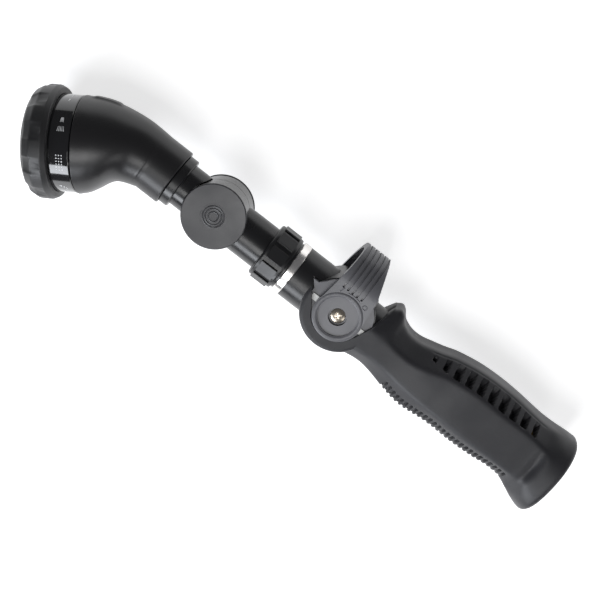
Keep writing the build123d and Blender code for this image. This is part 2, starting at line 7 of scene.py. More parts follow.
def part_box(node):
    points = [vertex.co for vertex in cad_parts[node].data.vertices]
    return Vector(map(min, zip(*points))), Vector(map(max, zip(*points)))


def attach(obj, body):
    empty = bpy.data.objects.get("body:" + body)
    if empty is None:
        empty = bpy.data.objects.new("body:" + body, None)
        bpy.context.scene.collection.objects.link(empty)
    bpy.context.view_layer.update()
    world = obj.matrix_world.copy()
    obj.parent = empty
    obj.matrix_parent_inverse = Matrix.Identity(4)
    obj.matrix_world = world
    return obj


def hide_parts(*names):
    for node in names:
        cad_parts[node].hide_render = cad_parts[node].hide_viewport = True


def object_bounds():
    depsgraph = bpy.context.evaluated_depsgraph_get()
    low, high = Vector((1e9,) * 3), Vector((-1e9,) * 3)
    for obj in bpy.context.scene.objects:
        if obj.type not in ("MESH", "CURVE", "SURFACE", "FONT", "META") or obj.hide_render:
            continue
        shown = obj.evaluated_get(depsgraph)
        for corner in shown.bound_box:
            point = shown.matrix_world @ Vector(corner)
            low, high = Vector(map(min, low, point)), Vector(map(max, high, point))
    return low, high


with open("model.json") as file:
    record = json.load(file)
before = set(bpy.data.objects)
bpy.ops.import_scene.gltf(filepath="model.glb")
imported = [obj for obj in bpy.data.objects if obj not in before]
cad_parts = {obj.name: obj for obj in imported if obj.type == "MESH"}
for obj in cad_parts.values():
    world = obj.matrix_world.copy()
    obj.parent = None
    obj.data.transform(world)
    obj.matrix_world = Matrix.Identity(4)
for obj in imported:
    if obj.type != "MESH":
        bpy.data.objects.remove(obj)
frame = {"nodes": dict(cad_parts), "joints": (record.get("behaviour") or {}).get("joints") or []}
cad_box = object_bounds()

# ------------------------------------------------------------------ sizes, in millimetres
MM = 0.001
TURN = 2 * np.pi
joint_place = {joint["name"]: joint for joint in frame["joints"]}
lever_x = joint_place["lever_turn"]["pos_m"][0] / MM
pivot_x = joint_place["head_tilt"]["pos_m"][0] / MM
bend_x = joint_place["dial_turn"]["pos_m"][0] / MM
bend = np.array([bend_x, 0.0, 0.0])         # where the head's axis meets the barrel's
head_axis = np.array(joint_place["dial_turn"]["axis"], float)
head_up = np.array([head_axis[1], -head_axis[0], 0.0])
head_angle = np.arctan2(-head_axis[1], -head_axis[0])
neck_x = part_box("head_body")[1].x / MM
neck_r = 16.0
neck_bore_r = 11.5
bell_r = 25.9
bell_bore_r = 21.3
bell_rim = 29.5             # stations along the head's axis are counted from the bend
band_r = 25.6
band_rear = 29.9
band_front = 52.3
ring_r = 30.0
ring_bore_r = 22.6
ring_rear = 41.0
ring_front = 55.5
patterns = 8
grip_dips = 10
lever_face = 19.2
screw_head_r = 4.0
grip_notch_x = -130.0       # the handle skin's first ring, at the lever's notch
grip_mouth_x = -3.6         # and its last, by the inlet
inlet_bore_r = 15.7


# ------------------------------------------------------------------ drawing surfaces
def smooth_line(knots, x):
    """Heights at x of a cubic Hermite curve through the knots, with each knot's slope taken from
    its two neighbours, so that the line is even and never kinks."""
    knots = np.asarray(knots, float)
    kx, ky = knots[:, 0], knots[:, 1]
    slope = np.gradient(ky, kx)
    x = np.clip(x, kx[0], kx[-1])
    i = np.clip(np.searchsorted(kx, x) - 1, 0, len(kx) - 2)
    width = kx[i + 1] - kx[i]
    t = (x - kx[i]) / width
    return ((2 * t**3 - 3 * t**2 + 1) * ky[i] + (t**3 - 2 * t**2 + t) * width * slope[i]
            + (3 * t**2 - 2 * t**3) * ky[i + 1] + (t**3 - t**2) * width * slope[i + 1])


def step(edge, soft, x):
    """Rises smoothly from 0 to 1 as x passes the edge: t^2 (3 - 2t), where t grows from 0 to 1 over
    a width of twice the softness."""
    t = np.clip((x - edge) / (2 * soft) + 0.5, 0, 1)
    return t * t * (3 - 2 * t)


def window(low, high, soft, x):
    """1 between low and high, 0 outside, with soft flanks."""
    return step(low, soft, x) * (1 - step(high, soft, x))


def full_turn(count):
    """Evenly spaced angles of one whole turn, without the last, which would repeat the first."""
    return np.linspace(0, TURN, count, endpoint=False)


def rounded(corners, steps=6):
    """A line through corners (x, y, radius): each corner is cut by a round arc that is tangent to
    both of its runs, with one more point just before and after to hold the flats flat. A corner
    on a straight run is only a point."""
    hold, straight = 0.08, -0.9999
    corners = np.asarray(corners, float)
    line = [corners[0, :2]]
    for before, here, after in zip(corners[:-2], corners[1:-1], corners[2:]):
        corner, radius = here[:2], here[2]
        to_before = before[:2] - corner
        to_after = after[:2] - corner
        to_before /= np.linalg.norm(to_before)
        to_after /= np.linalg.norm(to_after)
        if to_before @ to_after < straight:
            line.append(corner)
            continue
        half = np.arccos(np.clip(to_before @ to_after, -1, 1)) / 2
        reach = radius / np.tan(half)
        inward = (to_before + to_after) / np.linalg.norm(to_before + to_after)
        middle = corner + inward * radius / np.sin(half)
        start = corner + to_before * reach
        end = corner + to_after * reach
        a, b = start - middle, end - middle
        sweep = np.arccos(np.clip(a @ b / radius**2, -1, 1))
        t = np.linspace(0, 1, steps)[:, None]
        arc = middle + (np.sin((1 - t) * sweep) * a + np.sin(t * sweep) * b) / np.sin(sweep)
        line.append(start + to_before * hold)
        line.append(arc)
        line.append(end + to_after * hold)
    line.append(corners[-1, :2])
    return np.vstack(line)


def grid_faces(rows, columns, closed, looped=False):
    """Four-cornered faces of a grid of points: its columns join up into rings if closed, and its
    last ring joins its first if looped."""
    i = np.arange(rows if looped else rows - 1)[:, None]
    j = np.arange(columns if closed else columns - 1)[None, :]
    here = i * columns
    above = (i + 1) % rows * columns
    after = (j + 1) % columns
    return np.stack([here + j, here + after, above + after, above + j], -1).reshape(-1, 4)


def grid_shell(grid):
    """Points, four-cornered faces and end fans of one grid of closed rings. A grid that comes back
    to its first ring is joined up there; any other has its first and last rings closed by a fan to
    their middle. The shell is turned to face outwards by the sign of its volume, the sum of every
    corner triangle's determinant."""
    looped = np.allclose(grid[0], grid[-1])
    grid = grid[:-1] if looped else grid
    rows, ring = grid.shape[:2]
    shell = grid.reshape(-1, 3)
    quads = grid_faces(rows, ring, True, looped)
    fans = np.zeros((0, 3), int)
    if not looped:
        shell = np.vstack([shell, grid[0].mean(0), grid[-1].mean(0)])
        j = np.arange(ring)
        after = (j + 1) % ring
        last_ring, first_middle = (rows - 1) * ring, rows * ring
        first = np.stack([after, j, np.full(ring, first_middle)], -1)
        last = np.stack([last_ring + j, last_ring + after, np.full(ring, first_middle + 1)], -1)
        fans = np.vstack([first, last])
    a, b, c, d = (shell[quads[:, k]] for k in range(4))
    volume = np.einsum("ij,ij->", a, np.cross(b, c)) + np.einsum("ij,ij->", a, np.cross(c, d))
    if volume < 0:
        quads, fans = quads[:, ::-1], fans[:, ::-1]
    return shell, quads, fans


def make_piece(name, grids, sharp=35.0):
    """A mesh from grids of points in millimetres, each a (rows, ring, 3) array of closed rings,
    with an edge kept sharp where its faces meet at more than the given angle in degrees."""
    points, quads, fans, count = [], [], [], 0
    for grid in grids:
        shell, shell_quads, shell_fans = grid_shell(grid)
        points.append(shell)
        quads.append(shell_quads + count)
        fans.append(shell_fans + count)
        count += len(shell)
    points = np.vstack(points) * MM
    quads = np.vstack(quads)
    fans = np.vstack(fans)
    corners = np.concatenate([quads.ravel(), fans.ravel()]).astype(np.int32)
    starts = np.concatenate([np.arange(len(quads)) * 4, len(quads) * 4 + np.arange(len(fans)) * 3])
    mesh = bpy.data.meshes.new(name)
    mesh.vertices.add(len(points))
    mesh.vertices.foreach_set("co", points.astype(np.float32).ravel())
    mesh.loops.add(len(corners))
    mesh.loops.foreach_set("vertex_index", corners)
    mesh.polygons.add(len(starts))
    mesh.polygons.foreach_set("loop_start", starts.astype(np.int32))
    mesh.update(calc_edges=True)
    mesh.validate()
    mesh.polygons.foreach_set("use_smooth", np.ones(len(mesh.polygons), bool))
    mesh.set_sharp_from_angle(angle=np.radians(sharp))
    piece = bpy.data.objects.new(name, mesh)
    bpy.context.scene.collection.objects.link(piece)
    return piece


def rings(centres, turns, radii, around):
    """Rings of points: each is centre + radius x (cos v x up + sin v x Z), where up is the direction
    square to the ring's own axis in the XY plane. radii may vary round the ring."""
    v = full_turn(around)[None, :, None]
    up = np.stack([-np.sin(turns), np.cos(turns), np.zeros_like(turns)], -1)[:, None, :]
    across = np.array([0.0, 0.0, 1.0])
    radii = np.broadcast_to(np.asarray(radii, float).reshape(len(turns), -1), (len(turns), around))
    return centres[:, None, :] + radii[..., None] * (np.cos(v) * up + np.sin(v) * across)


def turned_on_head(profile, around, dip=None):
    """A profile of (radius, station) turned about the head's axis. dip, if given, is a function of
    station, angle and radius that is taken from the radius."""
    radius, station = profile[:, 0], profile[:, 1]
    centres = bend + station[:, None] * head_axis
    turns = np.full(len(profile), head_angle)
    radii = np.repeat(radius[:, None], around, 1)
    if dip is not None:
        radii = radii - dip(station[:, None], full_turn(around)[None, :], radii)
    return rings(centres, turns, radii, around)


def on_axis(x):
    """Points on the barrel's axis at x."""
    return np.stack([x, 0 * x, 0 * x], -1)


# ------------------------------------------------------------------ finishes
def add(tree, kind, links=None, **settings):
    """A node with its settings; links gives sockets or constants for its inputs by name or number."""
    node = tree.nodes.new(kind)
    for key, value in settings.items():
        setattr(node, key, value)
    for socket, value in (links or {}).items():
        if isinstance(value, bpy.types.NodeSocket):
            tree.links.new(value, node.inputs[socket])
        else:
            node.inputs[socket].default_value = value
    return node


def effect(name, inputs, outputs):
    """An empty node group with named inputs (name, kind, value) and outputs (name, kind)."""
    group = bpy.data.node_groups.new(name, "ShaderNodeTree")
    for label, kind, value in inputs:
        socket = group.interface.new_socket(name=label, in_out="INPUT", socket_type=kind)
        if value is not None:
            socket.default_value = value
    for label, kind in outputs:
        group.interface.new_socket(name=label, in_out="OUTPUT", socket_type=kind)
    return group, add(group, "NodeGroupInput"), add(group, "NodeGroupOutput")


def moulded_grain():
    """Spark-eroded mould texture: a fine pebble from small cells, over a soft wave of the surface."""
    group, given, result = effect(
        "moulded grain",
        [("Place", "NodeSocketVector", None), ("Cells per metre", "NodeSocketFloat", 1500.0),
         ("Wave", "NodeSocketFloat", 0.2)],
        [("Height", "NodeSocketFloat"), ("Tone", "NodeSocketFloat")])
    place, cells_per_metre, wave_share = given.outputs[:3]
    cells = add(group, "ShaderNodeTexNoise", {"Vector": place, "Scale": cells_per_metre,
                                              "Detail": 3.0, "Roughness": 0.6})
    wave = add(group, "ShaderNodeTexNoise", {"Vector": place, "Scale": 90.0, "Detail": 2.0})
    mixed = add(group, "ShaderNodeMix", {"Factor": wave_share, "A": cells.outputs[0],
                                         "B": wave.outputs[0]})
    broad = add(group, "ShaderNodeTexNoise", {"Vector": place, "Scale": 28.0, "Detail": 4.0})
    group.links.new(mixed.outputs[0], result.inputs[0])
    group.links.new(broad.outputs[0], result.inputs[1])
    return group


def handling_marks():
    """Wear from use: long faint scuffs where stretched noise crosses a threshold, and dull smudges."""
    group, given, result = effect(
        "handling marks",
        [("Place", "NodeSocketVector", None), ("Stretch", "NodeSocketVector", (1.0, 1.0, 1.0)),
         ("Amount", "NodeSocketFloat", 0.5)],
        [("Scuffs", "NodeSocketFloat"), ("Smudges", "NodeSocketFloat")])
    place, stretch, amount = given.outputs[:3]
    along = add(group, "ShaderNodeVectorMath", {0: place, 1: stretch}, operation="MULTIPLY")
    lines = add(group, "ShaderNodeTexNoise", {"Vector": along.outputs[0], "Scale": 420.0,
                                              "Detail": 5.0, "Roughness": 0.7})
    scuffs = add(group, "ShaderNodeMapRange", {"Value": lines.outputs[0],
                                               "From Min": 0.62, "From Max": 0.78})
    scaled = add(group, "ShaderNodeMath", {0: scuffs.outputs[0], 1: amount}, operation="MULTIPLY")
    haze = add(group, "ShaderNodeTexNoise", {"Vector": place, "Scale": 45.0, "Detail": 3.0})
    smudges = add(group, "ShaderNodeMapRange", {"Value": haze.outputs[0],
                                                "From Min": 0.42, "From Max": 0.68})
    group.links.new(scaled.outputs[0], result.inputs[0])
    group.links.new(smudges.outputs[0], result.inputs[1])
    return group


grain_group = moulded_grain()
marks_group = handling_marks()


def finish_for(name, deep, light, rough, rough_spread=0.08, cells=1500.0, wave=0.2, depth=0.02,
               scuff=0.3, stretch=(1.0, 1.0, 1.0), metal=0.0, coat=0.0, coat_rough=0.05, sheen=0.0):
    """A moulded, plated or rubber finish. The colour runs from deep to light with the broad tone of
    the moulding and lightens in scuffs; roughness follows the smudges; the grain feeds the bump,
    whose depth is in millimetres."""
    material = bpy.data.materials.new(name)
    material.use_nodes = True
    tree = material.node_tree
    shader = tree.nodes["Principled BSDF"]
    place = add(tree, "ShaderNodeTexCoord").outputs["Object"]
    grain = add(tree, "ShaderNodeGroup", node_tree=grain_group)
    tree.links.new(place, grain.inputs[0])
    grain.inputs[1].default_value = cells
    grain.inputs[2].default_value = wave
    marks = add(tree, "ShaderNodeGroup", node_tree=marks_group)
    tree.links.new(place, marks.inputs[0])
    marks.inputs[1].default_value = stretch
    marks.inputs[2].default_value = scuff
    tone = add(tree, "ShaderNodeMix", {"Factor": grain.outputs["Tone"], "A": (*deep, 1),
                                       "B": (*light, 1)}, data_type="RGBA")
    paler = tuple(min(1.0, channel * 1.7 + 0.01) for channel in light)
    worn = add(tree, "ShaderNodeMix", {"Factor": marks.outputs["Scuffs"],
                                       "A": tone.outputs["Result"], "B": (*paler, 1)},
               data_type="RGBA")
    tree.links.new(worn.outputs["Result"], shader.inputs["Base Color"])
    dull = add(tree, "ShaderNodeMapRange", {"Value": marks.outputs["Smudges"],
                                            "To Min": rough - rough_spread,
                                            "To Max": rough + rough_spread})
    tree.links.new(dull.outputs[0], shader.inputs["Roughness"])
    bump = add(tree, "ShaderNodeBump", {"Height": grain.outputs["Height"], "Strength": 1.0,
                                        "Distance": depth * MM})
    tree.links.new(bump.outputs[0], shader.inputs["Normal"])
    shader.inputs["Metallic"].default_value = metal
    shader.inputs["Coat Weight"].default_value = coat
    shader.inputs["Coat Roughness"].default_value = coat_rough
    shader.inputs["Sheen Weight"].default_value = sheen
    return material


head_black = finish_for("head black", (0.010, 0.010, 0.011), (0.016, 0.015, 0.016), 0.36, 0.04,
                        cells=1300.0, wave=0.15, depth=0.030, scuff=0.15)
barrel_black = finish_for("barrel black", (0.008, 0.008, 0.009), (0.013, 0.013, 0.014), 0.26, 0.05,
                          cells=900.0, wave=0.5, depth=0.008, scuff=0.25, stretch=(0.2, 1.0, 1.0))
gloss_black = finish_for("gloss band black", (0.006, 0.006, 0.007), (0.009, 0.009, 0.010), 0.12, 0.03,
                         cells=700.0, wave=0.7, depth=0.004, scuff=0.15, coat=0.6, coat_rough=0.04)
dial_black = finish_for("dial rubber", (0.013, 0.013, 0.014), (0.021, 0.021, 0.022), 0.46, 0.05,
                        cells=1700.0, wave=0.1, depth=0.030, scuff=0.2, sheen=0.05)
grip_black = finish_for("soft grip rubber", (0.015, 0.015, 0.018), (0.022, 0.022, 0.026), 0.52, 0.06,
                        cells=1900.0, wave=0.1, depth=0.035, scuff=0.25, stretch=(0.3, 1.0, 1.0),
                        sheen=0.12)
cap_black = finish_for("cap black", (0.030, 0.030, 0.033), (0.042, 0.042, 0.046), 0.34, 0.05,
                       cells=800.0, wave=0.6, depth=0.010, scuff=0.3)
body_black = finish_for("body black", (0.009, 0.009, 0.010), (0.014, 0.014, 0.015), 0.34, 0.05,
                        cells=1400.0, wave=0.2, depth=0.015, scuff=0.2, stretch=(0.25, 1.0, 1.0))
lever_grey = finish_for("lever grey", (0.115, 0.115, 0.125), (0.145, 0.145, 0.157), 0.40, 0.05,
                        cells=1500.0, wave=0.15, depth=0.022, scuff=0.25)
chrome = finish_for("chrome plate", (0.80, 0.77, 0.74), (0.88, 0.86, 0.84), 0.30, 0.08,
                    cells=600.0, wave=0.8, depth=0.004, scuff=0.3, stretch=(6.0, 1.0, 1.0), metal=1.0)
nickel = finish_for("nickel plate", (0.42, 0.37, 0.30), (0.58, 0.52, 0.44), 0.36, 0.08,
                    cells=1200.0, wave=0.4, depth=0.010, scuff=0.5, metal=1.0)
brass = finish_for("turned brass", (0.60, 0.42, 0.17), (0.72, 0.53, 0.25), 0.28, 0.08,
                   cells=1500.0, wave=0.2, depth=0.012, scuff=0.5, stretch=(8.0, 1.0, 1.0), metal=1.0)
nylon = finish_for("white nylon", (0.70, 0.70, 0.67), (0.82, 0.82, 0.80), 0.45, 0.05,
                   cells=1400.0, wave=0.2, depth=0.015, scuff=0.1)
seal = finish_for("seal rubber", (0.012, 0.012, 0.012), (0.020, 0.020, 0.020), 0.55, 0.05,
                  cells=1800.0, wave=0.1, depth=0.020, scuff=0.1)
ink = finish_for("white print", (0.62, 0.63, 0.64), (0.74, 0.75, 0.76), 0.5, 0.04,
                 cells=2500.0, wave=0.1, depth=0.010, scuff=0.3)


def dress(piece, material):
    """Gives a piece its one material."""
    piece.data.materials.clear()
    piece.data.materials.append(material)


cad_finish = {
    body_black: ["valve_body", "handle_tube", "coupling_nut"],
    barrel_black: ["barrel_tube", "head_stub", "neck_ring", "spray_face", "centre_jet"],
    cap_black: ["pivot_cap_near", "pivot_cap_far"],
    lever_grey: ["lever", "cheek_near", "cheek_far"],
    chrome: ["trim_ring", "valve_ball"],
    nickel: ["lever_screws", "pivot_bolt", "axle_screw", "detent_spring", "inlet_screen"],
    brass: ["hose_insert", "insert_seat", "drive_stem", "idler_stem"],
    nylon: ["front_seat", "rear_seat", "thrust_washers", "friction_ring", "selector_disc",
            "detent_pin"],
    seal: ["hose_washer", "stem_o_rings", "barrel_o_ring", "pivot_o_rings", "neck_o_ring",
           "port_seal"],
    grip_black: ["grip_shell"],
    head_black: ["head_body"],
    gloss_black: ["dial_shell"],
    dial_black: ["dial_ring"],
}
for material, names in cad_finish.items():
    for name in names:
        for slot in frame["nodes"][name].material_slots:
            slot.material = material


# ------------------------------------------------------------------ head body
def head_skin():
    """The head's skin: round sections whose centre, radius and turn follow even lines from the neck
    to the bell, with a pointer tab on top, a low seam by the neck and rounded rims at both ends."""
    around = 160
    bend_start = bend_x + 10.3          # where the neck's straight run ends
    tab_rear, tab_front, tab_half, tab_height = 16.0, 26.0, 2.6, 0.8
    seam_x, seam_width, seam_height = bend_x + 8.0, 0.35, 0.16
    rim = bend + bell_rim * head_axis

    # shares of the way from neck to bell: forward, sideways, in radius and in turn
    places = np.arange(-1, 5)
    shares = np.array([(0, 0, 0, 0), (0, 0, 0, 0), (0.308, 0.12, 0.24, 0.12),
                       (0.535, 0.43, 0.66, 0.33), (0.752, 0.667, 0.88, 0.667), (1, 1, 1, 1)])
    u = np.linspace(0.0, 4.0, 100)
    forward, aside, swell, lean = (smooth_line(np.column_stack([places, share]), u)
                                   for share in shares.T)
    bent = np.stack([bend_start + forward * (rim[0] - bend_start), aside * rim[1], 0 * u], -1)[:-1]
    neck = np.linspace(neck_x - 0.9, bend_start + 0.3, 26)
    neck_edge = rounded([(neck_bore_r, neck_x - 9, 0), (neck_bore_r, neck_x, 0.3),
                         (neck_r, neck_x, 0.7), (neck_r, neck_x - 1.2, 0)])[:-1]
    rim_edge = rounded([(bell_r, bell_rim - 1.2, 0), (bell_r - 0.1, bell_rim, 0.5),
                        (bell_bore_r, bell_rim, 0.3), (bell_bore_r, bell_rim - 7.4, 0)])[1:]
    centres = np.vstack([on_axis(neck_edge[:, 1]), on_axis(neck), bent,
                         bend + rim_edge[:, 1:] * head_axis])
    turns = np.concatenate([0 * neck_edge[:, 0], 0 * neck, lean[:-1] * head_angle,
                            0 * rim_edge[:, 0] + head_angle])
    radii = np.concatenate([neck_edge[:, 0], 0 * neck + neck_r,
                            neck_r + swell[:-1] * (bell_r - neck_r), rim_edge[:, 0]])[:, None]

    v = ((full_turn(around) + np.pi) % TURN - np.pi)[None, :]
    station = ((centres - bend) @ head_axis)[:, None]
    tab = tab_height * window(tab_rear, tab_front, 1.2, station)
    tab = tab * window(-tab_half, tab_half, 0.6, radii * v)
    seam = seam_height * np.exp(-((centres[:, :1] - seam_x) / seam_width) ** 2)
    seam = seam * window(0.9, 2.6, 0.2, v)
    outside = radii > 15
    return rings(centres, turns, radii + outside * (tab + seam), around)


head = make_piece("head_skin", [head_skin()])
dress(head, head_black)
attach(head, "head")
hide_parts("head_body")


# ------------------------------------------------------------------ dial ring, band and marks
def finger_dips(station, v, radius):
    """Ten finger dips round the ring: depth = 1.05 (1 - a^2 - b^2)^0.62, where a runs across the dip
    and b starts behind it, so that each ends in a crisp round towards the ring's rear edge."""
    deepest, half_width, end_length = 1.05, 1.55, 3.6
    end_start = ring_rear + 6.4
    phase = (v * grip_dips - 0.6 * grip_dips + np.pi) % TURN - np.pi
    across = np.abs(phase) / half_width
    behind = np.maximum(0, end_start - station) / end_length
    dish = np.clip(1.0 - across**2 - behind**2, 0, 1) ** 0.62
    outside = radius > 26.2
    return deepest * dish * outside


def ring_profile():
    """Closed section of the dial ring as (radius, station): flat at the back, swelling to its full
    radius and rounding in over the front rim."""
    seat_r = band_r + 0.1
    outline = rounded([(seat_r, ring_rear + 4, 0), (seat_r, ring_rear, 0.3), (28.7, ring_rear, 0.9),
                       (ring_r, ring_rear + 2.6, 1.8), (ring_r, ring_front - 6.0, 3.2),
                       (27.6, ring_front - 1.6, 3.0), (24.6, ring_front, 1.3),
                       (ring_bore_r, ring_front, 0.5), (ring_bore_r, ring_front - 3.0, 0)], 9)
    return np.vstack([outline, [(seat_r, ring_front - 3.0)], outline[:1]])


def band_profile():
    """Closed section of the label band as (radius, station): a rear web and the outer wall."""
    web_r, web_front = 8.0, 33.0
    wall_r = band_r - 2.3
    outline = rounded([(web_r, band_rear, 0), (band_r - 0.35, band_rear, 0.3),
                       (band_r, band_rear + 0.5, 0.3), (band_r, band_front, 0.3),
                       (wall_r, band_front, 0.3), (wall_r, web_front, 0)])
    return np.vstack([outline, [(web_r, web_front)], outline[:1]])


dial_rim = make_piece("dial_grip_ring", [turned_on_head(ring_profile(), 360, finger_dips)])
dress(dial_rim, dial_black)
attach(dial_rim, "dial")
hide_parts("dial_ring")

band = make_piece("label_band", [turned_on_head(band_profile(), 200)])
dress(band, gloss_black)
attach(band, "dial")
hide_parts("dial_shell")


def on_band(x, y, lift):
    """Carries flat marks round the band: x runs round it and y along the head's axis, and the place
    is y x axis + radius x (cos a x up + sin a x Z) with the angle a = x / band radius."""
    angle = x / band_r
    radius = band_r + lift
    across = radius * np.cos(angle)
    side = radius * np.sin(angle)
    return (bend + y[..., None] * head_axis + across[..., None] * head_up
            + side[..., None] * np.array([0, 0, 1.0]))


def flat_mark(outline):
    """A thin mark over a flat outline: its edge ring just under the band's surface, again one ink
    layer up, and a ring of half the size on top."""
    x, y = outline.T
    middle_x, middle_y = outline.mean(0)
    inner_x = middle_x + 0.5 * (x - middle_x)
    inner_y = middle_y + 0.5 * (y - middle_y)
    return np.stack([on_band(x, y, -0.05), on_band(x, y, 0.035), on_band(inner_x, inner_y, 0.04)])


def dot(x, y, radius):
    """A round mark."""
    v = full_turn(14)
    return flat_mark(np.stack([x + radius * np.cos(v), y + radius * np.sin(v)], -1))


def stroke(x0, y0, x1, y1, width):
    """A straight stroke with round ends: half circles about both end points."""
    lean = np.arctan2(y1 - y0, x1 - x0)
    v = lean + np.linspace(-np.pi / 2, np.pi / 2, 6)
    end = width / 2 * np.stack([np.cos(v), np.sin(v)], -1)
    return flat_mark(np.vstack([(x1, y1) + end, (x0, y0) - end]))


def spray_marks():
    """Eight small spray pictures, evenly spaced round the band."""
    places = [(i + 0.30) * TURN / patterns * band_r for i in range(patterns)]
    jet, fan, shower, mist, cross_jet, flat, soak, cone = places
    y = bell_rim + 5.4
    steps = (-1.4, 0, 1.4)
    marks = [stroke(jet - 3.4, y, jet + 3.6, y, 0.7), dot(jet - 5.0, y, 0.8)]
    marks += [stroke(fan - 3.6, y + 0.3 * spread, fan + 3.6, y + spread, 0.42)
              for spread in (-1.7, -0.85, 0, 0.85, 1.7)]
    marks += [dot(shower + column, y + row, 0.36)
              for column in (-4, -2.4, -0.8, 0.8, 2.4, 4) for row in steps]
    marks += [dot(mist + 4.2 * np.cos(t), y + 1.6 * np.sin(2.3 * t), 0.3)
              for t in np.linspace(0, 6, 17)]
    marks += [dot(cross_jet + 1.7 * np.cos(t), y + 1.7 * np.sin(t), 0.36) for t in full_turn(12)]
    marks += [stroke(cross_jet + start, y, cross_jet + start + 2.0, y, 0.5) for start in (-5.2, 3.2)]
    marks += [stroke(flat + column, y - 1.6, flat + column, y + 1.6, 0.5)
              for column in (-3.3, -1.1, 1.1, 3.3)]
    marks += [stroke(soak - 3.8, y + row, soak + 3.8, y + row, 0.5) for row in steps]
    marks += [stroke(cone - 3.8, y, cone + 3.6, y + spread, 0.5) for spread in (1.7, -1.7)]
    marks += [stroke(cone + 3.6, y - 1.7, cone + 3.6, y + 1.7, 0.5)]
    return marks


prints = make_piece("spray_marks", spray_marks())
dress(prints, ink)
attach(prints, "dial")


# ------------------------------------------------------------------ marks and screws of lever and cap
def bead(x, y, radius):
    """A low round bead standing on the lever's face, its section a quarter ellipse."""
    v = full_turn(14)
    height = 0.22 * np.array([-0.1, 0.0, 0.55, 0.88, 1.0])[:, None]
    reach = radius * np.array([1.0, 1.0, 0.85, 0.5, 0.12])[:, None]
    return np.stack([x + reach * np.cos(v), y + reach * np.sin(v), lever_face + height + 0 * v], -1)


def lever_marks():
    """An arc over the boss between an open ring, for open, and a short bar, for shut, each drawn by a
    row of beads that run into each other."""
    arc_r, ring_mark_r = 14.15, 1.15
    ring_at = lever_x + 7.9, 12.7
    bar_at = lever_x - 7.0, 13.3
    arc = [bead(lever_x + arc_r * np.sin(t), arc_r * np.cos(t), 0.30)
           for t in np.linspace(-0.22, 0.27, 30)]
    ring = [bead(ring_at[0] + ring_mark_r * np.cos(t), ring_at[1] + ring_mark_r * np.sin(t), 0.32)
            for t in full_turn(22)]
    bar = [bead(bar_at[0] + 0.4 * t, bar_at[1] + 1.4 * t, 0.34) for t in np.linspace(-1, 1, 12)]
    return arc + ring + bar


def boss_rims():
    """The rounded rim round each side of the lever's boss: a half-oval profile turned about the
    lever axis, standing between the sunk disc and the boss's edge."""
    middle_r, half_width = 12.05, 1.42
    foot, shoulder, rise = 18.3, 18.75, 0.85
    half = np.linspace(np.pi, 0, 18)
    crown = np.stack([middle_r + half_width * np.cos(half), shoulder + rise * np.sin(half) ** 0.8], -1)
    inner_foot, outer_foot = (middle_r - half_width, foot), (middle_r + half_width, foot)
    profile = np.vstack([inner_foot, crown, outer_foot, inner_foot])
    v = full_turn(160)[None, :]
    reach, height = profile[:, :1], profile[:, 1:]
    return [np.stack([lever_x + reach * np.cos(v), reach * np.sin(v), side * height + 0 * v], -1)
            for side in (1, -1)]


def screw_heads():
    """Domed screw heads down in the lever's recesses, each with a cross cut: the top is
    z = rim + 0.95 (1 - (r/4)^2), less the cross where the nearer arm's distance is under 0.42 and
    r is under 1.9."""
    rim_z, dome, cut_depth = 17.25, 0.95, 0.75
    arm_half, arm_reach = 0.42, 1.9
    r = np.concatenate([np.linspace(0.02, 2.6, 34), np.linspace(2.75, 3.9, 12)])[:, None]
    v = full_turn(112)[None, :]
    x, y = r * np.cos(v), r * np.sin(v)
    turned_x, turned_y = (x + y) * 0.7071, (y - x) * 0.7071
    arm = np.minimum(np.abs(turned_x), np.abs(turned_y))
    cross = (1 - step(arm_half, 0.1, arm)) * (1 - step(arm_reach, 0.25, r))
    top = rim_z + dome * (1 - (r / screw_head_r) ** 2) - cut_depth * cross * (1 - 0.3 * r / 2.1)
    skirt = np.array([17.2, 17.05])[:, None] + 0 * v
    edge_x = screw_head_r * np.cos(v) + 0 * skirt
    edge_y = screw_head_r * np.sin(v) + 0 * skirt
    heads = []
    for side in (1, -1):
        cap = np.stack([lever_x + x, y, side * top], -1)
        wall = np.stack([lever_x + edge_x, edge_y, side * skirt], -1)
        heads.append(np.vstack([cap, wall]))
    return heads


def cap_rings():
    """Three fine raised rings at the middle of the pivot's near cap, on a disc that fades into it:
    each ridge is 0.16 exp(-((r - its radius) / 0.28)^2), and the outer two are lower in three
    places."""
    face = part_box("pivot_cap_near")[1].z / MM
    ring_radii = (2.6, 4.3, 5.6)
    radius = np.linspace(0.0, 8.0, 120)[1:, None]
    v = full_turn(96)[None, :]
    ridge = sum(0.16 * np.exp(-((radius - ring) / 0.28) ** 2) for ring in ring_radii)
    fade = 1 - step(7.2, 0.6, radius)
    gaps = 1 - 0.35 * window(0.86, 1.14, 0.06, (6 * v / TURN) % 2) * (radius > 3.6)
    height = face - 0.05 + (0.07 + ridge) * fade * gaps
    return np.stack([pivot_x + radius * np.cos(v), radius * np.sin(v), height], -1)


screws = make_piece("screw_heads", screw_heads(), 50.0)
dress(screws, nickel)
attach(screws, "thumb_lever")
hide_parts("lever_screws")
marks = make_piece("lever_marks", lever_marks())
dress(marks, lever_grey)
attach(marks, "thumb_lever")
rims = make_piece("boss_rims", boss_rims())
dress(rims, lever_grey)
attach(rims, "thumb_lever")
emblem = make_piece("cap_rings", [cap_rings()])
dress(emblem, cap_black)
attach(emblem, "barrel")

